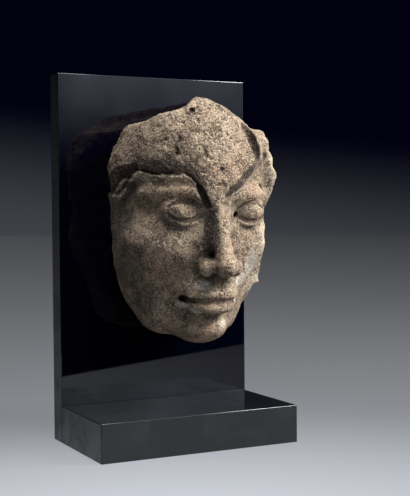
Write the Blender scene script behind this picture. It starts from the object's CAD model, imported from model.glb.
"""Weathered fragment of a stone head on a black display stand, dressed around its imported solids."""

from __future__ import annotations

import logging
import math
from dataclasses import dataclass, field
from enum import Enum
from typing import Callable, Iterable, Sequence

import bmesh
import bpy
import numpy as np
from mathutils import Matrix, Vector

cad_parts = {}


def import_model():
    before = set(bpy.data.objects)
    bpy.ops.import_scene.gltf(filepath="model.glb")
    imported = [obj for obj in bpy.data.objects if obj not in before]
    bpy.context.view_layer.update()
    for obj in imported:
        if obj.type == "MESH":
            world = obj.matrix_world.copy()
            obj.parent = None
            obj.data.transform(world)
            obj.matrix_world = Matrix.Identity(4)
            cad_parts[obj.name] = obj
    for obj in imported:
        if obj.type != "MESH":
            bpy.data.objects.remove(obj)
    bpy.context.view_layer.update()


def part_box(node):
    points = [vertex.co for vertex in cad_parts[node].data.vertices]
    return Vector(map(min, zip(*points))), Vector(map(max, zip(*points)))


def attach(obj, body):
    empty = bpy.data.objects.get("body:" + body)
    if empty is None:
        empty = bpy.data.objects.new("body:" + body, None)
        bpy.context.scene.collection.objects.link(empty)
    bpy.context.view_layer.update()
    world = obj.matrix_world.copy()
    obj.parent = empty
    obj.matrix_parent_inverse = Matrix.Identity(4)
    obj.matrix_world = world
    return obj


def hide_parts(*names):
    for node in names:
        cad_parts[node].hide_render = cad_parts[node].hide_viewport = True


LOG = logging.getLogger("stone_head")

Triple = tuple[float, float, float]
Colour = tuple[float, float, float, float]
Points = np.ndarray
Wave = tuple[float, float]
Band = tuple[float, float]

MILLIMETRE = 0.001
TINY = 1e-9
HIDDEN_MARGIN = 12.0
STROKE_STEPS = 10
SPOT_EDGE = (0.35, 1.25)


def smooth_min(a: Points, b: Points, band: float) -> Points:
    """Joins two distances, with a soft edge as wide as the band."""
    overlap = np.maximum(band - np.abs(a - b), 0.0)
    return np.minimum(a, b) - overlap * overlap / (4.0 * band)


def smooth_max(a: Points, b: Points, band: float) -> Points:
    """Keeps only what is inside both forms, with a soft edge as wide as the band."""
    return -smooth_min(-a, -b, band)


def smooth_step(low: float, high: float, value: Points) -> Points:
    """Rises smoothly from 0 at low to 1 at high."""
    t = np.clip((value - low) / (high - low), 0.0, 1.0)
    return t * t * (3.0 - 2.0 * t)


def swell(points: Points, size: float) -> Points:
    """Gentle unevenness between about -1 and 1.

    Args:
        points: Places, in millimetres.
        size: About the size of one lump, in millimetres.

    Returns:
        One value for each place.
    """
    x, y, z = (points / size).T
    broad = np.sin(1.7 * x + 0.9 * z + 0.4) * np.sin(1.3 * z - 0.8 * y + 1.1)
    fine = np.sin(2.9 * x - 1.9 * z + 2.0) * np.sin(2.3 * y + 2.7 * z + 0.6)
    return (broad + 0.6 * fine) / 1.6


def waved(points: Points, wave: Wave) -> Points:
    """Unevenness of a wave, given by its height and the size of its lumps, both in millimetres."""
    height, size = wave
    return height * swell(points, size)


def ellipsoid_distance(points: Points, centre: Triple, radii: Triple) -> Points:
    """Distance to an ellipsoid, true near its surface.

    Args:
        points: Places, in millimetres.
        centre: Middle of the ellipsoid.
        radii: Its three half axes.

    Returns:
        One distance for each place, negative inside.
    """
    near = (points - np.array(centre)) / np.array(radii)
    reach = np.linalg.norm(near, axis=1)
    return reach * (reach - 1.0) / (np.linalg.norm(near / np.array(radii), axis=1) + TINY)


def parabola(start: Points, middle: Points, end: Points, t: Points) -> Points:
    """Values of a parabola through three values, at t from 0 to 1."""
    control = 2.0 * middle - (start + end) / 2.0
    return (1 - t) ** 2 * start + 2 * t * (1 - t) * control + t**2 * end


@dataclass(frozen=True)
class Lump:
    """A rounded lump of stone, added or cut with a soft edge."""

    centre: Triple
    radii: Triple
    blend: float

    def near(self, points: Points) -> Points:
        """Mask of the places that the lump can change."""
        reach = max(self.radii) + self.blend + HIDDEN_MARGIN
        return np.sum((points - np.array(self.centre)) ** 2, axis=1) < reach**2

    def distance(self, points: Points) -> Points:
        """Distance to the lump's surface."""
        return ellipsoid_distance(points, self.centre, self.radii)


@dataclass(frozen=True)
class Stroke:
    """A rounded ridge or chisel stroke along a curve through three points."""

    start: Triple
    middle: Triple
    end: Triple
    radii: Triple
    blend: float

    def path(self) -> tuple[Points, Points]:
        """Works out evenly spaced points of the curve.

        Returns:
            The points, and the stroke's radius at each.
        """
        t = np.linspace(0.0, 1.0, STROKE_STEPS + 1)
        start, middle, end = (np.array(place) for place in (self.start, self.middle, self.end))
        return parabola(start, middle, end, t[:, None]), parabola(*self.radii, t)

    def near(self, points: Points) -> Points:
        """Mask of the places that the stroke can change.

        Args:
            points: Places, in millimetres.

        Returns:
            True for each place that is near.
        """
        curve, radius = self.path()
        middle = (curve.min(axis=0) + curve.max(axis=0)) / 2.0
        reach = np.linalg.norm(curve - middle, axis=1).max() + radius.max() + self.blend + HIDDEN_MARGIN
        return np.sum((points - middle) ** 2, axis=1) < reach**2

    def distance(self, points: Points) -> Points:
        """Distance to the stroke's surface.

        Args:
            points: Places, in millimetres.

        Returns:
            One distance for each place, negative inside.
        """
        curve, radius = self.path()
        nearest = np.full(len(points), np.inf)
        for a, b, ra, rb in zip(curve[:-1], curve[1:], radius[:-1], radius[1:]):
            along = b - a
            offset = points - a
            share = np.clip(offset @ along / (along @ along), 0.0, 1.0)
            gap = np.linalg.norm(offset - share[:, None] * along, axis=1) - (ra + (rb - ra) * share)
            nearest = np.minimum(nearest, gap)
        return nearest


@dataclass(frozen=True)
class Break:
    """A plane along which the stone broke."""

    point: Triple
    normal: Triple

    def distance(self, points: Points) -> Points:
        """Distance in front of the plane."""
        normal = np.array(self.normal) / np.linalg.norm(self.normal)
        return (points - np.array(self.point)) @ normal


Form = Lump | Stroke


def add_form(d: Points, points: Points, form: Form) -> Points:
    """Adds one form to the distances, where it reaches.

    Args:
        d: Distances before that.
        points: Their places.
        form: The form.

    Returns:
        The distances with the form.
    """
    near = form.near(points)
    d = d.copy()
    d[near] = smooth_min(d[near], form.distance(points[near]), form.blend)
    return d


def cut_form(d: Points, points: Points, form: Form) -> Points:
    """Cuts one form out of the distances, where it reaches."""
    return -add_form(-d, points, form)


@dataclass(frozen=True)
class HeadForm:
    """The carved and broken form of the head, in its own frame: millimetres, chin at z 0, face towards -Y."""

    height: float = 228.0
    ledge_z: float = 142.0
    ledge_dip_z: float = 122.0
    ledge_fall: float = 1.3
    ledge_rise: float = 0.9
    ledge_dip_left: float = -13.5
    ledge_dip_right: float = -3.0
    ledge_lean: float = 2.3
    ledge_corner: float = 6.0
    ledge_round: float = 4.0
    ledge_wave: Wave = (0.8, 6.0)
    temple_x: float = -69.0
    temple_z: float = 119.0
    temple_rise: float = 3.4
    trough_depth: float = 4.6
    trough_reach: float = 9.0
    trough_start: Band = (12.0, 24.0)
    trough_edge: Band = (-0.6, 1.4)
    trough_waves: tuple[Wave, Wave] = ((1.8, 5.5), (0.9, 2.7))
    top_crest: float = 206.0
    top_low: float = 180.5
    top_crest_u: float = -7.0
    top_crest_round: float = 14.0
    top_step: float = 8.0
    top_step_left: float = -33.0
    top_step_right: float = -22.0
    top_left_slope: float = 0.39
    top_right_slope: float = 0.62
    top_fall_back: float = 0.05
    front_y: float = -85.0
    top_slant: float = 0.5
    forehead_blend: float = 2.5
    break_blend: float = 3.0
    top_blend: float = 5.0
    top_share: float = 0.85
    side_wave_share: float = 0.6
    break_waves: tuple[Wave, Wave] = ((2.2, 13.0), (0.8, 5.3))
    all_over_wave: Wave = (0.5, 11.0)

    @property
    def half_width(self) -> float:
        """Half of the head's width at the temples."""
        return 0.31 * self.height

    @property
    def eye_width(self) -> float:
        """Width of one eye, a fifth of the head."""
        return 0.4 * self.half_width

    @property
    def eye_z(self) -> float:
        """Height of the eyes, half way up."""
        return self.height / 2.0

    @property
    def brow_z(self) -> float:
        """Height of the brows."""
        return 0.55 * self.height

    @property
    def nose_z(self) -> float:
        """Height of the nose's base."""
        return self.brow_z / 2.0

    @property
    def mouth_z(self) -> float:
        """Height of the line between the lips."""
        return self.nose_z * 2.0 / 3.0

    def masses(self) -> list[Form]:
        """Jaw with the cheeks, chin, cheekbone and jaw's corner."""
        return [
            Lump((0, -34, 71), (61, 61, 71), 24),
            Lump((0, -74, 17), (23, 20, 16), 16),
            Lump((39, -62, 86), (24, 26, 19), 16),
            Lump((28, -52, 26), (18, 20, 19), 12),
        ]

    def socket(self) -> Form:
        """Hollow in which the eye lies."""
        return Lump((30, -112, self.eye_z - 1), (20, 19, 12), 10)

    def raised(self) -> list[Form]:
        """Forms that stand out of the face: brow, lid, nose, mouth, and the lower lid's rim."""
        eye, brow, nose, mouth = self.eye_z, self.brow_z, self.nose_z, self.mouth_z
        inner, middle, outer = (share * self.eye_width for share in (0.5, 1.0, 1.5))
        bridge = (eye + nose) / 2 + 2
        return [
            Stroke((8, -95, brow - 1), (30, -91, brow + 4), (56, -67, brow), (4.5, 5, 3), 12),
            Lump((29.5, -80, eye), (18, 17.5, 14), 3),
            Stroke((0, -92, eye + 4), (0, -104, bridge), (0, -113.5, nose + 9), (6.5, 7.5, 9.5), 9),
            Lump((12, -102, nose + 7), (8, 10, 8), 5),
            Lump((0, -82, mouth + 4), (27, 21, 20), 10),
            Stroke((0, -101.5, mouth + 4.6), (11, -99.2, mouth + 4.8), (22, -89, mouth + 0.8),
                   (4.2, 4.5, 1.8), 3),
            Stroke((0, -100.5, mouth - 6), (11, -97.5, mouth - 5.6), (21, -88.5, mouth - 1.6),
                   (5.4, 5, 1.8), 3),
            Stroke((inner + 3, -93.2, eye - 5.6), (middle + 1.7, -93.2, eye - 10.4),
                   (outer + 0.6, -88.6, eye - 5.8), (1.3, 1.8, 1.3), 3),
        ]

    def carved(self) -> list[Form]:
        """Chisel and drill cuts of the face: mouth, chin fold, lids, nostrils and folds."""
        eye, nose, mouth = self.eye_z, self.nose_z, self.mouth_z
        inner, middle, outer = (share * self.eye_width for share in (0.5, 1.0, 1.5))
        return [
            Stroke((0, -105.5, mouth - 0.6), (12, -102.5, mouth - 0.2), (23.5, -90, mouth - 0.6),
                   (1.4, 1.4, 1.6), 1.6),
            Stroke((23, -92, mouth - 0.8), (23, -86, mouth - 0.8), (22, -79, mouth - 0.8),
                   (3, 2.6, 1.4), 1.5),
            Stroke((0, -99, mouth - 17.5), (10, -96, mouth - 17), (21, -86, mouth - 13), (3.5, 3.2, 2), 8),
            Stroke((0, -104.5, nose - 3), (0, -105, nose - 7), (0, -107, mouth + 12), (2.2, 2, 1), 5),
            Stroke((inner + 2, -94.3, eye - 3.2), (middle + 1.7, -95.3, eye - 7.2),
                   (outer + 0.6, -90.8, eye - 3.6), (1.2, 1.4, 1.2), 1.0),
            Stroke((inner + 2, -96.2, eye + 3.2), (middle + 1.7, -95.7, eye + 8.6),
                   (outer + 1, -89.4, eye + 3), (0.9, 1.3, 0.9), 1.5),
            Stroke((inner + 0.8, -97, eye - 2), (inner, -91, eye - 2), (inner - 1.5, -85, eye - 2),
                   (2.5, 2.2, 1.2), 0.8),
            Stroke((7.4, -110, nose - 3), (7, -106, nose + 3), (6, -100, nose + 9), (3.8, 3.2, 2), 1.2),
            Stroke((15, -107, nose + 16), (22, -98.5, nose + 9), (19, -97.5, nose), (0.8, 1.2, 1), 4.5),
            Stroke((20, -98, nose + 2), (28, -93, mouth + 14), (31, -84, mouth - 2), (1.6, 2, 1.5), 9),
        ]

    def scars(self) -> list[Form]:
        """Eroded grooves on the right of the forehead, and the hollow at the left temple."""
        return [
            Stroke((23, -88, 183), (30, -89.5, 171), (35, -90, 159), (4.2, 6, 4.4), 1),
            Stroke((35, -90, 159), (28.5, -95, 151.5), (19.5, -99.5, 143), (3.8, 2.8, 3.5), 1),
            Stroke((19.5, -99.5, 143), (9.5, -102, 134.5), (2, -102.5, 128.6), (3.3, 2.3, 1), 1),
            Stroke((46.5, -81, 162.3), (44, -82.5, 155.5), (31, -94.5, 148.1), (0.7, 1, 0.8), 0.6),
            Stroke((-73.5, -34, 126), (-69, -45, 137.5), (-62, -60, 145), (6, 5.5, 3), 1.5),
            Stroke((-23, -96.5, 135), (-18.5, -99.5, 128), (-13, -100, 119), (2, 3, 2.4), 1.2),
        ]

    def side_lumps(self) -> list[Lump]:
        """Lug and raised band at the right side."""
        return [Lump((54, -60, 148), (14.5, 24, 33), 6), Lump((46, -50, 57), (21, 25, 34), 5)]

    def temple_ridge(self) -> Form:
        """Crisp ridge beside the hollow at the left temple."""
        return Stroke((-68, -37, 119), (-66, -43.5, 130), (-61.5, -55, 140.5), (2, 2.4, 1.8), 2.5)

    def nicks(self) -> list[Form]:
        """Small pits and cracks of the forehead and the right brow."""
        return [
            Lump((-23.5, -81.3, 194.4), (2.4, 2.4, 1.8), 0.8),
            Lump((-4.3, -102.9, 149.4), (1.8, 1.8, 1.8), 0.6),
            Lump((41.8, -86.6, 135), (2.2, 2.2, 2.0), 0.8),
            Stroke((-1.9, -82.4, 199.5), (0, -83.6, 198.4), (1.9, -84.2, 196.6), (1, 1.3, 0.9), 0.6),
            Stroke((-20.5, -96.3, 167.4), (-17.2, -98.2, 162), (-17.5, -99.9, 155.1), (0.6, 1.1, 0.6), 0.5),
            Stroke((-34, -88, 171), (-38, -86.5, 166), (-37, -88, 160), (0.6, 1.0, 0.6), 0.5),
        ]

    def breaks(self) -> list[Break]:
        """Planes of the broken back, sides and jaw edge."""
        return [
            Break((0, -3, 100), (0, 1, -0.17)),
            Break((-70, -30, 100), (-0.66, 0.75, -0.045)),
            Break((66, -42, 100), (0.8, 0.6, 0)),
            Break((65.5, 0, 60), (1, -0.12, -0.03)),
            Break((70, -40, 52), (0.8, 0.05, -0.6)),
            Break((58, -79, 149), (0.843, -0.423, 0.334)),
            Break((-65.5, -42.5, 176), (-0.809, 0.406, 0.425)),
            Break((-49.5, -18.5, 9.5), (-0.45, 0.45, -0.78)),
            Break((0, -40, 5), (0, 0.5, -0.86)),
        ]

    def flakes(self) -> list[tuple[Break, Break]]:
        """Pieces split off the right cheek and jaw: what lies beyond both planes is gone."""
        return [
            (Break((60.5, -64, 80), (0.893, -0.448, -0.03)), Break((60, -64, 114), (0.2, 0, -1))),
            (Break((53.4, -62, 46.8), (0.818, -0.411, -0.403)), Break((55, -62, 49.5), (0.1, 0, -1))),
        ]

    def whole(self, points: Points) -> Points:
        """Distance to the whole head, before it was broken.

        Args:
            points: Places in the head's own frame.

        Returns:
            One distance for each place, negative inside.
        """
        q = points.copy()
        q[:, 0] = np.abs(q[:, 0])
        d = ellipsoid_distance(q, (0, -20, 132), (self.half_width, 78, 97))
        for form in self.masses():
            d = add_form(d, q, form)
        d = cut_form(d, q, self.socket())
        for form in self.raised():
            d = add_form(d, q, form)
        for form in self.carved():
            d = cut_form(d, q, form)
        return d

    def ledge_height(self, x: Points) -> Points:
        """Height of the worn forehead's lower edge: level at the left and lowest at the bridge.

        Args:
            x: Places across the head.

        Returns:
            One height for each place.
        """
        left = self.ledge_dip_z + self.ledge_fall * (self.ledge_dip_left - x)
        right = self.ledge_dip_z + self.ledge_rise * (x - self.ledge_dip_right)
        temple = self.temple_z + self.temple_rise * (x - self.temple_x)
        level = smooth_min(left, np.full_like(x, self.ledge_z), self.ledge_corner)
        arms = smooth_max(smooth_min(level, temple, self.ledge_round), right, self.ledge_round)
        return smooth_max(arms, np.full_like(x, self.ledge_dip_z), self.ledge_round)

    def trough(self, points: Points) -> Points:
        """Depth of the trough worn above the left ledge, behind the crisp edge of the brow's skin.

        Args:
            points: Places in the head's own frame.

        Returns:
            One depth for each place.
        """
        x, _, z = points.T
        above = z - self.ledge_height(x)
        for wave in self.trough_waves:
            above = above + waved(points, wave)
        along = smooth_step(*self.trough_start, -x)
        fade = np.exp(-np.maximum(above, 0.0) / self.trough_reach)
        return self.trough_depth * along * smooth_step(*self.trough_edge, above) * fade

    def top_height(self, x: Points, y: Points) -> Points:
        """Height at which the top is broken off, along ridges that run back to the right.

        Args:
            x: Places across the head.
            y: Places from front to back.

        Returns:
            One height for each place.
        """
        u = x - self.top_slant * (y - self.front_y)
        left = self.top_left_slope * np.maximum(self.top_step_left - u, 0.0)
        past_crest = smooth_max(u - self.top_crest_u, np.zeros_like(u), self.top_crest_round)
        step = self.top_step * (1.0 - smooth_step(self.top_step_left, self.top_step_right, u))
        ridge = self.top_crest - left - self.top_right_slope * past_crest - step
        ridge = smooth_max(ridge, np.full_like(x, self.top_low), self.top_blend)
        return ridge - self.top_fall_back * (y - self.front_y)

    def forehead(self, points: Points) -> Points:
        """Distance to the thick weathered forehead, which ends in the ledge.

        Args:
            points: Places in the head's own frame.

        Returns:
            One distance for each place, negative inside.
        """
        skull = ellipsoid_distance(points, (0, -20, 134), (self.half_width + 5, 84, 99))
        edge = self.ledge_height(points[:, 0]) - points[:, 2] + self.ledge_lean * skull
        edge = edge / math.hypot(1.0, self.ledge_lean) + waved(points, self.ledge_wave)
        return smooth_max(skull, edge, self.break_blend)

    def broken(self, d: Points, points: Points) -> Points:
        """Breaks the top, the back, the sides and the flakes off.

        Args:
            d: Distances before that.
            points: Their places.

        Returns:
            Distances to what is left.
        """
        x, y, z = points.T
        broad, fine = self.break_waves
        rough = waved(points, broad) + waved(points[:, [2, 0, 1]], fine)
        top = self.top_share * (z - self.top_height(x, y))
        d = smooth_max(d, top + self.side_wave_share * rough, self.top_blend)
        for plane in self.breaks():
            d = smooth_max(d, plane.distance(points) + rough, self.break_blend)
        for side, end in self.flakes():
            flake = smooth_min(side.distance(points), end.distance(points), self.break_blend)
            d = smooth_max(d, flake + self.side_wave_share * rough, self.break_blend)
        return d

    def fragment(self, points: Points) -> Points:
        """Distance to the fragment that is left.

        Args:
            points: Places in the head's own frame.

        Returns:
            One distance for each place, negative inside.
        """
        d = smooth_min(self.whole(points), self.forehead(points), self.forehead_blend) + self.trough(points)
        for lump in self.side_lumps():
            d = smooth_min(d, lump.distance(points), lump.blend)
        d = add_form(d, points, self.temple_ridge())
        for scar in self.scars() + self.nicks():
            d = cut_form(d, points, scar)
        return self.broken(d, points) + waved(points, self.all_over_wave)


@dataclass(frozen=True)
class HeadPlace:
    """Where the head's own frame hangs in the row frame."""

    middle: Triple = (0.0, -50.0, 105.0)
    place: Triple = (9.0, -24.5, 194.8)
    nod_degrees: float = 7.0
    lean_degrees: float = 1.0

    def rotation(self) -> np.ndarray:
        """Matrix that turns the head's own frame to the row frame."""
        nod, lean = math.radians(self.nod_degrees), math.radians(self.lean_degrees)
        return np.array(Matrix.Rotation(lean, 3, "Y") @ Matrix.Rotation(nod, 3, "X"))

    def to_row(self, points: Points) -> Points:
        """Row-frame places, in metres, of places in the head's own frame."""
        return ((points - np.array(self.middle)) @ self.rotation().T + np.array(self.place)) * MILLIMETRE


@dataclass(frozen=True)
class GridAxis:
    """Grid lines along one axis, closest together over its fine stretch."""

    low: float
    high: float
    fine_low: float
    fine_high: float
    fine: float
    coarse: float
    growth: float = 1.05

    def lines(self) -> Points:
        """Works out the grid lines, in millimetres.

        Returns:
            The lines, from low to high.
        """
        middle = list(np.arange(self.fine_low, self.fine_high, self.fine))
        after = self.grow(middle[-1], self.high)
        before = [-v for v in self.grow(-middle[0], -self.low)]
        return np.array(before[::-1] + middle + after)

    def grow(self, start: float, end: float) -> list[float]:
        """Grid lines after start, wider and wider until one passes end.

        Args:
            start: The line before the first.
            end: The place to pass.

        Returns:
            The lines.
        """
        lines = []
        step = self.fine
        while start < end:
            step = min(step * self.growth, self.coarse)
            start += step
            lines.append(start)
        return lines


def lattice(counts: Iterable[int]) -> np.ndarray:
    """All whole-number places of a box with so many along each axis."""
    return np.stack(np.meshgrid(*(np.arange(n) for n in counts), indexing="ij"), axis=-1).reshape(-1, 3)


class Mesher:
    """Turns a distance form into an even closed mesh, with one corner in each grid cell on the surface."""

    BLOCK = 4
    CORNERS = lattice((2, 2, 2))
    CLOSE_SHARE = 0.75
    CLOSE_MARGIN = 3.0
    PROBE = 0.15
    LEAST_STEEPNESS = 0.2
    SETTLE_REACH = 0.6
    RELAX_SHARE = 0.6

    def __init__(self, distance: Callable[[Points], Points], axes: Sequence[GridAxis]) -> None:
        """Keeps the form and its grid.

        Args:
            distance: Gives the distance of each place to the surface.
            axes: Grid lines along X, Y and Z.
        """
        self.distance = distance
        self.lines = [axis.lines() for axis in axes]
        self.shape = tuple(len(line) for line in self.lines)

    def at(self, index: np.ndarray) -> Points:
        """Places of grid points, from their three indices."""
        return np.stack([line[index[:, axis]] for axis, line in enumerate(self.lines)], axis=1)

    def sample(self) -> np.ndarray:
        """Samples the form near its surface, and coarsely elsewhere.

        Returns:
            Distances on the whole grid, whose signs are right everywhere.
        """
        block = self.BLOCK
        counts = [math.ceil(n / block) for n in self.shape]
        blocks = lattice(counts)
        limit = np.array(self.shape) - 1
        low = self.at(np.minimum(blocks * block, limit))
        high = self.at(np.minimum(blocks * block + block, limit))
        middle = self.distance((low + high) / 2.0)
        close = np.abs(middle) < np.linalg.norm(high - low, axis=1) * self.CLOSE_SHARE + self.CLOSE_MARGIN
        values = middle.reshape(counts).repeat(block, 0).repeat(block, 1).repeat(block, 2)
        values = values[: self.shape[0], : self.shape[1], : self.shape[2]].copy()
        index = (blocks[close][:, None, :] * block + lattice((block,) * 3)[None]).reshape(-1, 3)
        index = index[(index <= limit).all(axis=1)]
        values[tuple(index.T)] = self.distance(self.at(index))
        return values

    def corners(self, values: np.ndarray) -> tuple[np.ndarray, Points]:
        """Places one corner in each crossed cell.

        Args:
            values: Distances on the grid.

        Returns:
            The cell of each corner, and its place.
        """
        inside = values < 0
        width, depth, height = (n - 1 for n in self.shape)
        counts = sum(inside[i : width + i, j : depth + j, k : height + k].astype(np.int8)
                     for i, j, k in self.CORNERS)
        cells = np.argwhere((counts > 0) & (counts < len(self.CORNERS)))
        total = np.zeros((len(cells), 3))
        crossings = np.zeros(len(cells))
        for first in self.CORNERS:
            for axis in range(3):
                if first[axis] == 0:
                    second = first.copy()
                    second[axis] = 1
                    a, b = cells + first, cells + second
                    va, vb = values[tuple(a.T)], values[tuple(b.T)]
                    crossed = (va < 0) != (vb < 0)
                    share = np.where(crossed, va / np.where(crossed, va - vb, 1.0), 0.0)
                    place = self.at(a) + share[:, None] * (self.at(b) - self.at(a))
                    total += place * crossed[:, None]
                    crossings += crossed
        return cells, total / crossings[:, None]

    def faces(self, values: np.ndarray, cells: np.ndarray) -> np.ndarray:
        """Joins the corners of the four cells round each crossed grid edge.

        Args:
            values: Distances on the grid.
            cells: The cell of each corner.

        Returns:
            Four corner numbers for each face, turned outwards.
        """
        number = np.full(self.shape, -1, dtype=np.int32)
        number[tuple(cells.T)] = np.arange(len(cells))
        inside = values < 0
        quads = []
        for axis in range(3):
            u, v = (axis + 1) % 3, (axis + 2) % 3
            low = np.take(inside, np.arange(self.shape[axis] - 1), axis=axis)
            high = np.take(inside, np.arange(1, self.shape[axis]), axis=axis)
            edges = np.argwhere(low != high)
            edges = edges[(edges[:, u] > 0) & (edges[:, v] > 0)]
            step_u, step_v = np.eye(3, dtype=int)[u], np.eye(3, dtype=int)[v]
            ring = [edges - step_u - step_v, edges - step_v, edges, edges - step_u]
            quad = np.stack([number[tuple(cell.T)] for cell in ring], axis=1)
            outwards = low[tuple(edges.T)]
            quads.append(np.where(outwards[:, None], quad, quad[:, ::-1]))
        return np.concatenate(quads)

    def slope(self, points: Points) -> Points:
        """Direction and steepness in which the distance grows.

        Args:
            points: Places, in millimetres.

        Returns:
            One slope for each place.
        """
        moves = self.PROBE * np.eye(3)
        rises = [self.distance(points + move) - self.distance(points - move) for move in moves]
        return np.stack(rises, axis=1) / (2.0 * self.PROBE)

    def settle(self, points: Points) -> Points:
        """Moves points onto the surface, by no more than the reach.

        Args:
            points: Places, in millimetres.

        Returns:
            The moved places.
        """
        slope = self.slope(points)
        steep = np.maximum(np.sum(slope * slope, axis=1), self.LEAST_STEEPNESS)
        move = -(self.distance(points) / steep)[:, None] * slope
        length = np.maximum(np.linalg.norm(move, axis=1), TINY)
        return points + move * np.minimum(1.0, self.SETTLE_REACH / length)[:, None]

    @staticmethod
    def relax(points: Points, quads: np.ndarray, share: float) -> Points:
        """Moves each corner towards the middle of its neighbours, by a share of the way.

        Args:
            points: The corners' places.
            quads: Four corner numbers for each face.
            share: The share of the way.

        Returns:
            The moved places.
        """
        total = np.zeros_like(points)
        count = np.zeros(len(points))
        for a, b in ((0, 1), (1, 2), (2, 3), (3, 0)):
            for one, other in ((quads[:, a], quads[:, b]), (quads[:, b], quads[:, a])):
                for axis in range(3):
                    total[:, axis] += np.bincount(one, points[other, axis], len(points))
                count += np.bincount(one, minlength=len(points))
        return points + share * (total / count[:, None] - points)

    def mesh(self) -> tuple[Points, np.ndarray]:
        """Builds the mesh.

        Returns:
            The corners' places, in millimetres, and four corner numbers for each face.
        """
        values = self.sample()
        cells, points = self.corners(values)
        quads = self.faces(values, cells)
        points = self.settle(points)
        points = self.settle(self.relax(points, quads, self.RELAX_SHARE))
        return points, quads


Socket = bpy.types.NodeSocket
Feed = Socket | float | str | Sequence[float]
Inputs = dict[str | int, Feed]


class Graph:
    """Places and links the nodes of one tree."""

    ROWS = 6
    SPACING = (200.0, -180.0)

    def __init__(self, tree: bpy.types.NodeTree) -> None:
        """Starts on an empty tree.

        Args:
            tree: The tree to fill.
        """
        self.tree = tree
        tree.nodes.clear()

    def node(self, kind: str, inputs: Inputs | None = None, **settings: object) -> bpy.types.Node:
        """Adds one node.

        Args:
            kind: The node's type name.
            inputs: What feeds its inputs, by name or number.
            **settings: Its properties.

        Returns:
            The node.
        """
        column, row = divmod(len(self.tree.nodes), self.ROWS)
        node = self.tree.nodes.new(kind)
        node.location = (self.SPACING[0] * column, self.SPACING[1] * row)
        for name, value in settings.items():
            setattr(node, name, value)
        for name, value in (inputs or {}).items():
            self.feed(node.inputs[name], value)
        return node

    def feed(self, socket: Socket, value: Feed) -> None:
        """Links a socket into another, or sets its own value.

        Args:
            socket: The socket to feed.
            value: What feeds it.
        """
        if isinstance(value, bpy.types.NodeSocket):
            self.tree.links.new(value, socket)
        else:
            socket.default_value = value

    def math(self, operation: str, a: Feed, b: Feed) -> Socket:
        """Works out one value from two others."""
        return self.node("ShaderNodeMath", {0: a, 1: b}, operation=operation).outputs[0]

    def times(self, a: Feed, b: Feed) -> Socket:
        """Multiplies two values."""
        return self.math("MULTIPLY", a, b)

    def plus(self, a: Feed, b: Feed) -> Socket:
        """Adds two values."""
        return self.math("ADD", a, b)

    def minus(self, a: Feed, b: Feed) -> Socket:
        """Takes the second value from the first."""
        return self.math("SUBTRACT", a, b)

    def inverse(self, value: Feed) -> Socket:
        """Divides one by a value."""
        return self.math("DIVIDE", 1.0, value)

    def vector(self, operation: str, a: Feed, b: Feed, output: str = "Vector") -> Socket:
        """Works out one vector or value from two vectors."""
        return self.node("ShaderNodeVectorMath", {0: a, 1: b}, operation=operation).outputs[output]

    def scaled(self, vector: Socket, scale: Feed) -> Socket:
        """Multiplies a vector by one number."""
        return self.node("ShaderNodeVectorMath", {0: vector, "Scale": scale}, operation="SCALE").outputs[0]

    def dot(self, vector: Socket, direction: Triple) -> Socket:
        """Works out how far a vector reaches in a direction."""
        return self.vector("DOT_PRODUCT", vector, direction, "Value")

    def place(self) -> Socket:
        """Position on the piece, in millimetres."""
        return self.scaled(self.node("ShaderNodeTexCoord").outputs["Object"], 1.0 / MILLIMETRE)

    def noise(self, vector: Socket, scale: Feed, detail: float = 2.0, rough: float = 0.5, warp: float = 0.0
              ) -> Socket:
        """Adds a noise texture and returns its value."""
        inputs = {"Vector": vector, "Scale": scale, "Detail": detail, "Roughness": rough, "Distortion": warp}
        return self.node("ShaderNodeTexNoise", inputs).outputs[0]

    def cells(self, vector: Socket, scale: Feed) -> Socket:
        """Adds a texture of cells and returns the distance to the nearest cell's middle."""
        return self.node("ShaderNodeTexVoronoi", {"Vector": vector, "Scale": scale}).outputs["Distance"]

    def between(self, value: Socket, low: Feed, high: Feed, start: Feed = 0.0, end: Feed = 1.0) -> Socket:
        """Maps a value smoothly from low and high to start and end."""
        inputs = {"Value": value, "From Min": low, "From Max": high, "To Min": start, "To Max": end}
        return self.node("ShaderNodeMapRange", inputs, interpolation_type="SMOOTHSTEP").outputs[0]

    def mix(self, share: Feed, first: Feed, second: Feed) -> Socket:
        """Mixes two colours."""
        return self.node("ShaderNodeMix", {0: share, 6: first, 7: second}, data_type="RGBA").outputs[2]


def new_group(name: str, kind: str, values: dict[str, float], others: Iterable[tuple[str, str, str]]
              ) -> tuple[Graph, bpy.types.Node, bpy.types.Node]:
    """Makes a node group with named sockets.

    Args:
        name: The group's name.
        kind: Its tree type.
        values: Starting value of each number that goes in, by name.
        others: Name, direction and socket type of each other socket.

    Returns:
        The group's graph, its input node and its output node.
    """
    tree = bpy.data.node_groups.new(name, kind)
    graph = Graph(tree)
    for label, direction, socket_type in others:
        tree.interface.new_socket(label, in_out=direction, socket_type=socket_type)
    for label, value in values.items():
        socket = tree.interface.new_socket(label, in_out="INPUT", socket_type="NodeSocketFloat")
        socket.default_value = value
    return graph, graph.node("NodeGroupInput"), graph.node("NodeGroupOutput")


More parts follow.
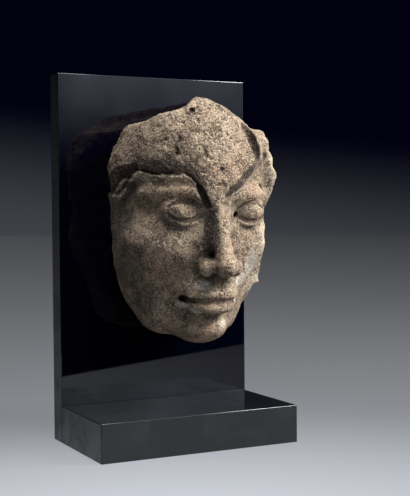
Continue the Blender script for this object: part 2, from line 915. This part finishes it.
class StoneWeathering:
    """Geometry Nodes that wear a carved surface with swells, grain and pits, most where it is eroded."""

    VALUES = {
        "Grain Size": 2.7, "Grain Height": 0.5, "Lump Size": 8.5, "Lump Height": 0.75,
        "Pit Size": 5.0, "Pit Depth": 1.5, "Skin Share": 0.5, "Loss": 0.35, "Seed": 7.0,
    }
    SEED_REACH = (13.0, 29.0, 41.0)
    MIDDLE = 0.5
    GRAIN_GAIN = 4.0
    LUMP_GAIN = 2.0
    PIT_RIM = (0.12, 0.42)
    PATCH_SCALE = 0.055
    PATCH_EDGE = (0.5, 0.66)

    def __init__(self) -> None:
        """Builds the tree once."""
        others = [("Geometry", "INPUT", "NodeSocketGeometry"), ("Material", "INPUT", "NodeSocketMaterial"),
                  ("Geometry", "OUTPUT", "NodeSocketGeometry")]
        graph, given, result = new_group("Stone weathering", "GeometryNodeTree", self.VALUES, others)
        self.tree = graph.tree
        place = graph.scaled(graph.node("GeometryNodeInputPosition").outputs[0], 1.0 / MILLIMETRE)
        seed = graph.node("ShaderNodeCombineXYZ", {
            axis: graph.times(given.outputs["Seed"], reach) for axis, reach in enumerate(self.SEED_REACH)})
        place = graph.vector("ADD", place, seed.outputs[0])
        eroded = graph.node("GeometryNodeInputNamedAttribute", {"Name": "eroded"}, data_type="FLOAT")
        height = self.height(graph, given.outputs, place, eroded.outputs["Attribute"])
        normal = graph.node("GeometryNodeInputNormal").outputs[0]
        offset = graph.scaled(normal, graph.times(height, MILLIMETRE))
        move = graph.node("GeometryNodeSetPosition",
                          {"Geometry": given.outputs["Geometry"], "Offset": offset})
        real = graph.node("GeometryNodeRealizeInstances", {"Geometry": move.outputs[0]})
        coat = graph.node("GeometryNodeSetMaterial",
                          {"Geometry": real.outputs[0], "Material": given.outputs["Material"]})
        graph.feed(result.inputs["Geometry"], coat.outputs[0])

    def height(self, graph: Graph, given: bpy.types.NodeOutputs, place: Socket, eroded: Socket) -> Socket:
        """Height of the weathering above the carved surface.

        Args:
            graph: The tree's graph.
            given: The group's inputs, by name.
            place: Position in millimetres.
            eroded: Mask of the eroded stone.

        Returns:
            The height, in millimetres.
        """
        grain = graph.minus(graph.noise(place, graph.inverse(given["Grain Size"]), 2.5, 0.6), self.MIDDLE)
        lump = graph.minus(graph.noise(place, graph.inverse(given["Lump Size"]), 2.0, 0.5, 0.4), self.MIDDLE)
        bowl = graph.between(graph.cells(place, graph.inverse(given["Pit Size"])), *self.PIT_RIM, 1.0, 0.0)
        where = graph.between(graph.noise(place, self.PATCH_SCALE, 2.0), *self.PATCH_EDGE)
        bowl = graph.times(graph.times(bowl, where), given["Pit Depth"])
        grain = graph.times(graph.times(grain, given["Grain Height"]), self.GRAIN_GAIN)
        lump = graph.times(graph.times(lump, given["Lump Height"]), self.LUMP_GAIN)
        share = graph.between(eroded, 0.0, 1.0, given["Skin Share"], 1.0)
        rise = graph.minus(graph.plus(grain, lump), bowl)
        return graph.minus(graph.times(rise, share), given["Loss"])

    def wear(self, piece: bpy.types.Object, material: bpy.types.Material) -> bpy.types.Object:
        """Wears one piece and makes the result a plain mesh.

        Args:
            piece: The carved piece, which is used up.
            material: Finish of the worn surface.

        Returns:
            The worn piece.
        """
        modifier = piece.modifiers.new("weathering", "NODES")
        modifier.node_group = self.tree
        sockets = {s.name: s.identifier for s in self.tree.interface.items_tree if s.in_out == "INPUT"}
        for name, value in self.VALUES.items():
            modifier[sockets[name]] = value
        modifier[sockets["Material"]] = material
        seen = bpy.context.evaluated_depsgraph_get()
        worn = bpy.data.meshes.new_from_object(piece.evaluated_get(seen), depsgraph=seen)
        piece.modifiers.remove(modifier)
        carved = piece.data
        piece.data = worn
        bpy.data.meshes.remove(carved)
        return piece


def speckle_group() -> bpy.types.NodeTree:
    """Builds the shader group of fine speckles, which the stone and the dusty stand share.

    Returns:
        The group, with a mask of the speckles and a mask of their broad patches.
    """
    graph, given, result = new_group(
        "Speckle", "ShaderNodeTree", {"Size": 1.0, "Cover": 0.5, "Patch Size": 20.0},
        [("Mask", "OUTPUT", "NodeSocketFloat"), ("Patch", "OUTPUT", "NodeSocketFloat")],
    )
    place = graph.place()
    fine = graph.noise(place, graph.inverse(given.outputs["Size"]), 2.0, 0.6)
    patch = graph.noise(place, graph.inverse(given.outputs["Patch Size"]), 4.0, 0.65, 0.5)
    edge = graph.between(given.outputs["Cover"], 0.0, 1.0, 0.72, 0.3)
    edge = graph.plus(edge, graph.between(patch, 0.3, 0.7, 0.07, -0.07))
    mask = graph.between(fine, graph.minus(edge, 0.05), graph.plus(edge, 0.07))
    graph.feed(result.inputs["Mask"], mask)
    graph.feed(result.inputs["Patch"], graph.between(patch, 0.38, 0.64))
    return graph.tree


def shade_tree(name: str) -> tuple[bpy.types.Material, Graph, bpy.types.Node]:
    """Starts a material.

    Args:
        name: The material's name.

    Returns:
        The material, its graph and its shader.
    """
    material = bpy.data.materials.new(name)
    material.use_nodes = True
    graph = Graph(material.node_tree)
    shader = graph.node("ShaderNodeBsdfPrincipled")
    graph.node("ShaderNodeOutputMaterial", {"Surface": shader.outputs[0]})
    return material, graph, shader


def use_group(graph: Graph, tree: bpy.types.NodeTree, **values: float) -> bpy.types.Node:
    """Places a shader group and sets its inputs, whose names are given with underscores for spaces.

    Args:
        graph: The material's graph.
        tree: The group.
        **values: Its inputs, by name.

    Returns:
        The group's node.
    """
    node = graph.node("ShaderNodeGroup", node_tree=tree)
    for name, value in values.items():
        graph.feed(node.inputs[name.replace("_", " ")], value)
    return node


def bump(graph: Graph, shader: bpy.types.Node, height: Socket, depth_mm: float) -> None:
    """Feeds a shader's normal from a height between 0 and 1.

    Args:
        graph: The material's graph.
        shader: The shader.
        height: The height.
        depth_mm: What a height of 1 means, in millimetres.
    """
    node = graph.node("ShaderNodeBump", {"Distance": depth_mm * MILLIMETRE, "Height": height})
    graph.feed(shader.inputs["Normal"], node.outputs[0])


class Stain(Enum):
    """Stains of the stone, by the name of the mask that the material reads."""

    WARM = "warm"
    PATINA = "patina"
    FILM = "film"
    LIME = "lime"
    BLEACHED = "bleached"


@dataclass(frozen=True)
class StainLook:
    """How a stain breaks up: its lumps per millimetre, its colour, and its shares at most and least."""

    scale: float
    colour: Colour
    strength: float
    least: float = 0.6


@dataclass(frozen=True)
class Sandstone:
    """Coarse tan sandstone with dark patina, warm skin, grey film and pale lime deposits."""

    pale: Colour = (0.62, 0.49, 0.345, 1.0)
    tan: Colour = (0.40, 0.295, 0.20, 1.0)
    dark_grain: Colour = (0.085, 0.057, 0.042, 1.0)
    light_grain: Colour = (0.76, 0.65, 0.50, 1.0)
    dirt: Colour = (0.035, 0.025, 0.021, 1.0)
    shade: Colour = (0.21, 0.15, 0.105, 1.0)
    warm: StainLook = StainLook(0.09, (0.55, 0.335, 0.22, 1.0), 0.6)
    bleached: StainLook = StainLook(0.08, (0.80, 0.67, 0.50, 1.0), 0.75)
    film: StainLook = StainLook(0.11, (0.13, 0.114, 0.088, 1.0), 0.85, 0.5)
    patina: StainLook = StainLook(0.2, (0.060, 0.042, 0.042, 1.0), 1.0, 0.3)
    lime: StainLook = StainLook(0.3, (0.78, 0.71, 0.60, 1.0), 0.9, 0.05)
    warm_patches: float = 0.35
    light_share: float = 0.4
    coarse_share: float = 0.6
    dirt_share: float = 0.95
    specular: float = 0.3
    relief_mm: float = 2.2

    @staticmethod
    def mask(graph: Graph, name: str) -> Socket:
        """Reads one mask of the surface."""
        return graph.node("ShaderNodeAttribute", attribute_name=name).outputs["Fac"]

    def material(self, speckle: bpy.types.NodeTree) -> bpy.types.Material:
        """Builds the material.

        Args:
            speckle: The shared group of speckles.

        Returns:
            The material.
        """
        material, graph, shader = shade_tree("weathered sandstone")
        place = graph.place()
        coarse = use_group(graph, speckle, Size=2.7, Cover=0.4, Patch_Size=32.0).outputs
        fine = use_group(graph, speckle, Size=1.5, Cover=0.5, Patch_Size=9.0).outputs
        light = use_group(graph, speckle, Size=1.9, Cover=0.42, Patch_Size=19.0).outputs
        eroded = self.mask(graph, "eroded")
        dull = graph.between(graph.noise(place, 0.16, 5.0, 0.75, 0.5), 0.42, 0.62, 0.0, 0.4)
        dense = graph.between(fine["Patch"], 0.0, 1.0, 0.6, 1.0)
        grain = graph.times(graph.between(eroded, 0.0, 1.0, 0.85, 0.9), dense)
        colour = self.tan
        for share, tint in (
            (coarse["Patch"], self.pale),
            (graph.times(light["Patch"], self.warm_patches), self.warm.colour),
            (self.stain(graph, Stain.WARM, place), self.warm.colour),
            (dull, self.shade),
            (self.stain(graph, Stain.BLEACHED, place), self.bleached.colour),
            (self.stain(graph, Stain.FILM, place), self.film.colour),
            (graph.times(light["Mask"], self.light_share), self.light_grain),
            (self.stain(graph, Stain.PATINA, place), self.patina.colour),
            (graph.times(coarse["Mask"], graph.times(grain, self.coarse_share)), self.dark_grain),
            (graph.times(fine["Mask"], grain), self.dark_grain),
            (graph.times(self.mask(graph, "cavity"), self.dirt_share), self.dirt),
            (self.stain(graph, Stain.LIME, place), self.lime.colour),
        ):
            colour = graph.mix(share, colour, tint)
        graph.feed(shader.inputs["Base Color"], colour)
        graph.feed(shader.inputs["Roughness"], graph.between(fine["Mask"], 0.0, 1.0, 0.78, 0.95))
        graph.feed(shader.inputs["Specular IOR Level"], self.specular)
        nicks = graph.between(graph.cells(place, 0.5), 0.1, 0.45)
        height = graph.plus(graph.noise(place, 0.8, 5.0, 0.75), graph.times(nicks, 0.3))
        height = graph.times(height, graph.between(eroded, 0.0, 1.0, 0.8, 1.0))
        bump(graph, shader, height, self.relief_mm)
        return material

    def stain(self, graph: Graph, stain: Stain, place: Socket) -> Socket:
        """Breaks a painted mask up with broad and fine noise.

        Args:
            graph: The material's graph.
            stain: Which stain.
            place: Position in millimetres.

        Returns:
            The stain's mask.
        """
        look = getattr(self, stain.value)
        broad = graph.noise(place, look.scale, 5.0, 0.7, 0.3)
        edge = graph.plus(self.mask(graph, stain.value), graph.times(broad, 1.5))
        soft = graph.between(edge, 0.85, 1.5, 0.0, look.strength)
        specks = graph.between(graph.noise(place, 0.6, 3.0, 0.7), 0.38, 0.56, look.least, 1.0)
        return graph.times(soft, specks)


@dataclass(frozen=True)
class BlackFinish:
    """Black of the stand, polished or satin, with haze and dust."""

    name: str
    colour: Colour
    roughness: float
    haze: float
    dust: float
    dust_size: float = 0.7
    dust_colour: Colour = (0.35, 0.35, 0.34, 1.0)
    dust_roughness: float = 0.4
    lift: float = 1.9
    ior: float = 1.53
    relief_mm: float = 0.05

    def material(self, speckle: bpy.types.NodeTree) -> bpy.types.Material:
        """Builds the material.

        Args:
            speckle: The shared group of speckles.

        Returns:
            The material.
        """
        material, graph, shader = shade_tree(self.name)
        place = graph.place()
        dust = use_group(graph, speckle, Size=self.dust_size, Cover=0.12, Patch_Size=34.0).outputs
        smear = graph.noise(place, 0.03, 4.0, 0.6, 1.2)
        scuff = graph.noise(place, 0.35, 3.0, 0.6)
        lifted = (*(self.lift * share for share in self.colour[:3]), 1.0)
        mottled = graph.mix(graph.times(scuff, 0.5), self.colour, lifted)
        specks = graph.times(graph.times(dust["Mask"], dust["Patch"]), self.dust)
        graph.feed(shader.inputs["Base Color"], graph.mix(specks, mottled, self.dust_colour))
        haze = graph.times(graph.between(smear, 0.4, 0.7), self.haze)
        rough = graph.plus(graph.plus(haze, self.roughness), graph.times(specks, self.dust_roughness))
        graph.feed(shader.inputs["Roughness"], rough)
        graph.feed(shader.inputs["IOR"], self.ior)
        bump(graph, shader, graph.times(scuff, self.roughness), self.relief_mm)
        return material


@dataclass(frozen=True)
class BlackenedSteel:
    """Oiled dark steel of the rod."""

    colour: Colour = (0.055, 0.053, 0.05, 1.0)
    stained: Colour = (0.12, 0.09, 0.07, 1.0)
    roughness: float = 0.38
    rough_patches: float = 0.6
    metallic: float = 0.9

    def material(self, speckle: bpy.types.NodeTree) -> bpy.types.Material:
        """Builds the material.

        Args:
            speckle: The shared group of speckles.

        Returns:
            The material.
        """
        material, graph, shader = shade_tree("blackened steel")
        stains = use_group(graph, speckle, Size=1.2, Cover=0.3, Patch_Size=12.0).outputs
        colour = graph.mix(graph.times(stains["Mask"], 0.5), self.colour, self.stained)
        rough = graph.between(stains["Patch"], 0.0, 1.0, self.roughness, self.rough_patches)
        graph.feed(shader.inputs["Base Color"], colour)
        graph.feed(shader.inputs["Metallic"], self.metallic)
        graph.feed(shader.inputs["Roughness"], rough)
        return material


def new_piece(name: str, mesh: bpy.types.Mesh) -> bpy.types.Object:
    """Puts a mesh into the scene as a piece.

    Args:
        name: The piece's name.
        mesh: Its mesh.

    Returns:
        The piece.
    """
    piece = bpy.data.objects.new(name, mesh)
    bpy.context.scene.collection.objects.link(piece)
    return piece


def report(piece: bpy.types.Object) -> None:
    """Logs a piece's name and size."""
    LOG.info("%s: %d faces", piece.name, len(piece.data.polygons))


@dataclass(frozen=True)
class Spot:
    """A stain on the stone: strongest in its middle and gone at its radii, in the head's own frame."""

    centre: Triple
    radii: Triple
    strength: float = 1.0

    def mask(self, points: Points) -> Points:
        """Strength of the stain at each place."""
        reach = np.linalg.norm((points - np.array(self.centre)) / np.array(self.radii), axis=1)
        return self.strength * (1.0 - smooth_step(*SPOT_EDGE, reach))


@dataclass
class StoneHead:
    """The broken head: carved form, weathering, stains and finish."""

    form: HeadForm = field(default_factory=HeadForm)
    place: HeadPlace = field(default_factory=HeadPlace)
    fine: float = 0.99
    coarse: float = 1.85
    quick_factor: float = 1.7
    socket_radius: float = 5.3
    socket_gap: float = 0.3
    groove_patina: float = 0.68
    cavity_reach: float = 4.0
    cavity_open: float = 0.92
    cavity_gain: float = 1.3

    def spots(self) -> dict[Stain, list[Spot]]:
        """Places the stains about the face.

        Returns:
            The spots of each stain.
        """
        eye, nose, mouth = self.form.eye_z, self.form.nose_z, self.form.mouth_z
        return {
            Stain.WARM: [
                Spot((30, -94, eye + 16), (18, 14, 10), 0.8), Spot((-36, -88, eye + 16), (20, 16, 12), 0.9),
                Spot((8, -104, nose + 22), (9, 14, 24), 0.8), Spot((4, -92, 12), (26, 18, 14), 0.9),
                Spot((34, -84, nose + 4), (18, 16, 18), 0.7), Spot((-36, -84, nose + 8), (20, 16, 20), 0.6),
                Spot((0, -100, 150), (24, 20, 18), 0.6), Spot((0, -101, mouth + 2), (20, 10, 8), 0.6),
            ],
            Stain.PATINA: [
                Spot((-9, -101, nose + 33), (6, 15, 32), 1.0), Spot((-8, -106, nose - 3), (9, 9, 6), 0.9),
                Spot((8, -106, nose - 3), (9, 9, 5), 0.7), Spot((0, -98, mouth - 16), (18, 10, 5), 0.55),
                Spot((-46, -79, 148), (26, 22, 7), 0.8), Spot((-58, -58, 150), (12, 18, 10), 0.6),
            ],
            Stain.FILM: [
                Spot((-57, -52, 66), (12, 28, 34), 1.0), Spot((-46, -58, 38), (14, 22, 20), 0.9),
                Spot((-64, -40, 104), (12, 26, 24), 0.9), Spot((-20, -80, 10), (16, 16, 10), 0.5),
                Spot((-44, -76, 96), (16, 18, 12), 0.6),
            ],
            Stain.LIME: [
                Spot((25, -88, mouth + 1), (8, 9, 8), 0.8), Spot((-25, -87, mouth - 5), (7, 9, 5), 0.9),
                Spot((36, -84, nose + 10), (9, 14, 16), 0.8), Spot((-13, -98, nose - 8), (8, 8, 5), 0.8),
                Spot((-15, -94, mouth - 10), (9, 8, 5), 0.7), Spot((28, -88, nose - 6), (7, 10, 10), 0.9),
                Spot((14, -92, 20), (8, 9, 8), 0.6),
            ],
            Stain.BLEACHED: [
                Spot((58, -68, 150), (16, 26, 34), 1.0), Spot((50, -74, 92), (18, 24, 26), 0.8),
                Spot((44, -74, 58), (18, 22, 22), 0.7),
            ],
        }

    def distance(self, points: Points) -> Points:
        """Distance to the fragment with the socket for the rod drilled into its back.

        Args:
            points: Places in the head's own frame.

        Returns:
            One distance for each place, negative inside.
        """
        row = self.place.to_row(points) / MILLIMETRE
        low, high = (np.array(corner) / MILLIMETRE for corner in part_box("mounting_rod"))
        middle = (low + high) / 2.0
        round_rod = np.hypot(row[:, 0] - middle[0], row[:, 2] - middle[2]) - self.socket_radius
        drill = np.maximum(round_rod, low[1] - self.socket_gap - row[:, 1])
        return np.maximum(self.form.fragment(points), -drill)

    def carve(self) -> bpy.types.Object:
        """Makes the carved surface, with its masks.

        Returns:
            The piece, in the row frame.
        """
        grow = 1.0
        fine, coarse = self.fine * grow, self.coarse * grow
        stretches = ((-82, 82, -46, 46), (-130, 22, -118, -62), (-8, 222, 14, 182))
        mesher = Mesher(self.distance, [GridAxis(*stretch, fine, coarse) for stretch in stretches])
        points, quads = mesher.mesh()
        mesh = bpy.data.meshes.new("stone_head")
        mesh.from_pydata(self.place.to_row(points).tolist(), [], quads.tolist())
        mesh.update()
        slope = mesher.slope(points)
        normal = slope / np.maximum(np.linalg.norm(slope, axis=1), TINY)[:, None]
        for name, values in self.masks(points, normal).items():
            layer = mesh.attributes.new(name, "FLOAT", "POINT")
            layer.data.foreach_set("value", values.astype(np.float32))
        mesh.polygons.foreach_set("use_smooth", [True] * len(mesh.polygons))
        return new_piece("weathered_head", mesh)

    def masks(self, points: Points, normal: Points) -> dict[str, Points]:
        """Works out where the stone is eroded, hollow or stained.

        Args:
            points: The corners, in the head's own frame.
            normal: Their outward directions.

        Returns:
            A value for each corner, by the mask's name.
        """
        x, y, z = points.T
        broken = smooth_step(1.0, 5.0, -self.form.whole(points))
        above = smooth_step(-4.0, 3.0, z - self.form.ledge_height(x))
        side = smooth_step(44.0, 54.0, x) * smooth_step(112.0, 122.0, z)
        eroded = np.clip(np.maximum(np.maximum(broken, above), side), 0.0, 1.0)
        openness = self.distance(points + normal * self.cavity_reach) / self.cavity_reach
        cavity = np.clip((self.cavity_open - openness) * self.cavity_gain, 0.0, 1.0)
        masks = {"eroded": eroded, "cavity": cavity}
        for stain, spots in self.spots().items():
            masks[stain.value] = np.max([spot.mask(points) for spot in spots], axis=0)
        patina = Stain.PATINA.value
        for scar in self.form.scars():
            depth = 1.0 - smooth_step(-0.5, 2.6, scar.distance(points))
            masks[patina] = np.maximum(masks[patina], self.groove_patina * depth)
        return masks

    def build(self, speckle: bpy.types.NodeTree) -> bpy.types.Object:
        """Builds, weathers and dresses the head.

        Args:
            speckle: The shared group of speckles.

        Returns:
            The piece.
        """
        piece = StoneWeathering().wear(self.carve(), Sandstone().material(speckle))
        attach(piece, "root")
        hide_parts("stone_head")
        report(piece)
        return piece


@dataclass
class DisplayStand:
    """The black plate and block, with rounded polished edges."""

    edge_radius: float = 0.6
    segments: int = 3
    flat: float = 0.999
    polished: BlackFinish = BlackFinish("polished black", (0.0005, 0.0005, 0.0028, 1.0), 0.02, 0.02, 0.002)
    buffed: BlackFinish = BlackFinish("buffed black", (0.006, 0.0065, 0.008, 1.0), 0.07, 0.10, 0.09)
    satin: BlackFinish = BlackFinish("satin black", (0.007, 0.0076, 0.009, 1.0), 0.30, 0.14, 0.07)

    def slab(self, name: str, node: str) -> bpy.types.Object:
        """Makes one rounded slab that fills a node's box.

        Args:
            name: The piece's name.
            node: The node that it replaces.

        Returns:
            The piece.
        """
        low, high = (Vector(corner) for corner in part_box(node))
        form = bmesh.new()
        bmesh.ops.create_cube(form, size=1.0)
        fit = Matrix.LocRotScale((low + high) / 2, None, high - low)
        bmesh.ops.transform(form, verts=form.verts, matrix=fit)
        bmesh.ops.bevel(form, geom=form.edges[:] + form.verts[:], offset=self.edge_radius * MILLIMETRE,
                        segments=self.segments, profile=0.5, affect="EDGES")
        mesh = bpy.data.meshes.new(name)
        form.to_mesh(mesh)
        form.free()
        for polygon in mesh.polygons:
            polygon.use_smooth = max(abs(share) for share in polygon.normal) < self.flat
        piece = new_piece(name, mesh)
        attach(piece, "root")
        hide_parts(node)
        return piece

    @staticmethod
    def dress(piece: bpy.types.Object, side: bpy.types.Material, face: bpy.types.Material, towards: Triple
              ) -> None:
        """Gives one flat face its own finish, and the rest another.

        Args:
            piece: The slab.
            side: Finish of the other faces and the edges.
            face: Finish of the named face.
            towards: The direction that the named face looks in.
        """
        piece.data.materials.append(side)
        piece.data.materials.append(face)
        direction = Vector(towards)
        for polygon in piece.data.polygons:
            if polygon.normal.dot(direction) > 0.7:
                polygon.material_index = 1

    def build(self, speckle: bpy.types.NodeTree) -> list[bpy.types.Object]:
        """Builds and dresses the plate and the block.

        Args:
            speckle: The shared group of speckles.

        Returns:
            The two pieces.
        """
        satin = self.satin.material(speckle)
        plate = self.slab("polished_plate", "back_plate")
        self.dress(plate, satin, self.polished.material(speckle), (0.0, -1.0, 0.0))
        block = self.slab("satin_block", "base_block")
        self.dress(block, satin, self.buffed.material(speckle), (0.0, 0.0, 1.0))
        for piece in (plate, block):
            report(piece)
        return [plate, block]


@dataclass
class MountingRod:
    """The short round rod that carries the head, with chamfered ends."""

    sides: int = 72
    chamfer: float = 0.6

    def build(self, speckle: bpy.types.NodeTree) -> bpy.types.Object:
        """Builds and dresses the rod.

        Args:
            speckle: The shared group of speckles.

        Returns:
            The piece.
        """
        low, high = (Vector(corner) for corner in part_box("mounting_rod"))
        middle = (low + high) / 2
        radius = (high.z - low.z) / 2
        cut = self.chamfer * MILLIMETRE
        profile = [(0.0, low.y), (radius - cut, low.y), (radius, low.y + cut), (radius, high.y - cut),
                   (radius - cut, high.y), (0.0, high.y)]
        form = bmesh.new()
        line = [form.verts.new((middle.x + r, y, middle.z)) for r, y in profile]
        edges = [form.edges.new(pair) for pair in zip(line[:-1], line[1:])]
        bmesh.ops.spin(form, geom=line + edges, cent=middle, axis=(0.0, 1.0, 0.0), angle=2 * math.pi,
                       steps=self.sides)
        bmesh.ops.remove_doubles(form, verts=form.verts[:], dist=1e-6)
        bmesh.ops.recalc_face_normals(form, faces=form.faces[:])
        mesh = bpy.data.meshes.new("round_rod")
        form.to_mesh(mesh)
        form.free()
        mesh.materials.append(BlackenedSteel().material(speckle))
        piece = new_piece("round_rod", mesh)
        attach(piece, "root")
        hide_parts("mounting_rod")
        report(piece)
        return piece


@dataclass(frozen=True)
class Lamp:
    """One soft square lamp, in metres and watts."""

    name: str
    place: Triple
    power: float
    size: float
    colour: Triple

    def hang(self, target: Triple) -> None:
        """Hangs the lamp, so that it points at the target.

        Args:
            target: Where it points.
        """
        data = bpy.data.lights.new(self.name, "AREA")
        data.size = self.size
        data.energy = self.power
        data.color = self.colour
        lamp = bpy.data.objects.new(self.name, data)
        lamp.location = self.place
        lamp.rotation_mode = "QUATERNION"
        lamp.rotation_quaternion = (Vector(target) - Vector(self.place)).to_track_quat("-Z", "Y")
        bpy.context.scene.collection.objects.link(lamp)


@dataclass
class Studio:
    """Camera at the photograph's angle, pale floor, soft lamps and a graded surround."""

    azimuth: float = -26.6596
    elevation: float = 1.8913
    roll: float = -0.4447
    distance: float = 1.00449
    target: Triple = (0.049374, 0.0365, 0.165348)
    lens: float = 79.75
    floor_radius: float = 9.0
    floor_sides: int = 128
    pool: Triple = (-0.154, -0.37, 0.0)
    pool_light: float = 0.142
    pool_fall: float = -0.55
    pool_least: float = 0.12
    pool_edge: tuple[float, float] = (0.26, 0.6)
    pool_swell: float = 0.7
    side_fall: float = 0.17
    side_limits: tuple[float, float] = (-0.4, 0.35)
    right: Triple = (0.894, -0.449, 0.0)
    floor_tone: Colour = (0.945, 0.985, 1.07, 1.0)
    floor_colour: Colour = (0.035, 0.0355, 0.037, 1.0)
    black: Colour = (0.0, 0.0, 0.0, 1.0)
    mirrored: Triple = (-0.455, -0.89, 0.0)
    mirrored_reach: float = 0.272
    mirrored_edge: float = 0.006
    held_back: float = 0.55
    lit: Triple = (0.0, -0.03, 0.2)
    lamps: tuple[Lamp, ...] = (
        Lamp("key", (0.92, -0.62, 0.98), 36.0, 0.45, (1.0, 0.98, 0.94)),
        Lamp("top", (-0.06, -0.30, 1.26), 13.0, 0.5, (1.0, 1.0, 1.0)),
    )
    horizon: Colour = (0.049, 0.054, 0.063, 1.0)
    zenith: Colour = (0.0004, 0.0004, 0.005, 1.0)
    horizon_edge: tuple[float, float] = (-0.05, 0.085)
    horizon_skew: float = 0.11
    glow: Colour = (1.75, 1.95, 2.15, 1.0)
    glow_towards: Triple = (0.5, -0.72, 0.5)
    glow_edge: tuple[float, float] = (0.6, 0.98)
    glow_rise: tuple[float, float] = (0.03, 0.2)

    def camera(self) -> None:
        """Places the camera."""
        azimuth, elevation, roll = (math.radians(v) for v in (self.azimuth, self.elevation, self.roll))
        back = Vector((math.sin(azimuth) * math.cos(elevation), -math.cos(azimuth) * math.cos(elevation),
                       math.sin(elevation)))
        right = Vector((math.cos(azimuth), math.sin(azimuth), 0.0))
        above = back.cross(right)
        turned_right = right * math.cos(roll) + above * math.sin(roll)
        turned_up = above * math.cos(roll) - right * math.sin(roll)
        view = Matrix((turned_right, turned_up, back)).transposed().to_4x4()
        view.translation = Vector(self.target) + back * self.distance
        data = bpy.data.cameras.new("camera")
        data.sensor_fit = "AUTO"
        data.sensor_width = 36.0
        data.lens = self.lens
        camera = bpy.data.objects.new("camera", data)
        camera.matrix_world = view
        bpy.context.scene.collection.objects.link(camera)
        bpy.context.scene.camera = camera

    def floor(self) -> None:
        """Lays the pale floor, which glows evenly and falls off softly to the colour of the horizon.

        The polished plate mirrors only the stretch of it that lies close to the stand. The floor lights the
        stone less than it shows.
        """
        form = bmesh.new()
        bmesh.ops.create_circle(form, cap_ends=True, segments=self.floor_sides, radius=self.floor_radius)
        mesh = bpy.data.meshes.new("floor")
        form.to_mesh(mesh)
        form.free()
        material, graph, shader = shade_tree("pale floor")
        place = graph.node("ShaderNodeTexCoord").outputs["Object"]
        away = graph.math("MAXIMUM", graph.vector("DISTANCE", place, self.pool, "Value"), self.pool_least)
        light = graph.times(graph.math("POWER", away, self.pool_fall), self.pool_light)
        light = graph.times(light, graph.between(away, *self.pool_edge, 1.0 + self.pool_swell, 1.0))
        low, high = self.side_limits
        aside = graph.times(graph.dot(place, self.right), -self.side_fall)
        aside = graph.math("MAXIMUM", graph.math("MINIMUM", aside, high), low)
        rays = graph.node("ShaderNodeLightPath").outputs
        far = self.mirrored_reach + self.mirrored_edge
        edge = graph.between(graph.dot(place, self.mirrored), self.mirrored_reach, far)
        unseen = graph.times(rays["Is Glossy Ray"], edge)
        held_back = graph.times(rays["Is Diffuse Ray"], self.held_back)
        for share in (graph.plus(1.0, aside), graph.minus(1.0, unseen), graph.minus(1.0, held_back)):
            light = graph.times(light, share)
        graph.feed(shader.inputs["Base Color"], graph.mix(unseen, self.floor_colour, self.black))
        graph.feed(shader.inputs["Emission Color"], self.floor_tone)
        graph.feed(shader.inputs["Emission Strength"], light)
        graph.feed(shader.inputs["Roughness"], 1.0)
        graph.feed(shader.inputs["Specular IOR Level"], 0.0)
        mesh.materials.append(material)
        new_piece("floor", mesh)

    def surround(self) -> None:
        """Grades the surround: dark blue above a dim horizon, and a broad soft glow from the front right."""
        world = bpy.data.worlds.new("surround")
        bpy.context.scene.world = world
        world.use_nodes = True
        graph = Graph(world.node_tree)
        towards = graph.node("ShaderNodeTexCoord").outputs["Generated"]
        height = graph.node("ShaderNodeSeparateXYZ", {0: towards}).outputs["Z"]
        skewed = graph.plus(height, graph.times(graph.dot(towards, self.right), self.horizon_skew))
        colour = graph.mix(graph.between(skewed, *self.horizon_edge), self.horizon, self.zenith)
        direction = tuple(Vector(self.glow_towards).normalized())
        glow = graph.between(graph.dot(towards, direction), *self.glow_edge)
        glow = graph.times(glow, graph.between(height, *self.glow_rise))
        streak = graph.between(graph.noise(towards, 7.0, 3.0, 0.6), 0.35, 0.65, 0.5, 1.2)
        colour = graph.mix(graph.times(glow, streak), colour, self.glow)
        background = graph.node("ShaderNodeBackground", {"Color": colour})
        graph.node("ShaderNodeOutputWorld", {"Surface": background.outputs[0]})

    def build(self) -> None:
        """Sets up the whole studio."""
        self.camera()
        self.floor()
        for lamp in self.lamps:
            lamp.hang(self.lit)
        self.surround()
        bpy.context.scene.view_settings.view_transform = "Standard"


def main() -> None:
    """Builds the studio and the pieces."""
    logging.basicConfig(level=logging.INFO, format="%(name)s: %(message)s")
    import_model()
    Studio().build()
    speckle = speckle_group()
    StoneHead().build(speckle)
    DisplayStand().build(speckle)
    MountingRod().build(speckle)


if __name__ == "__main__":
    main()
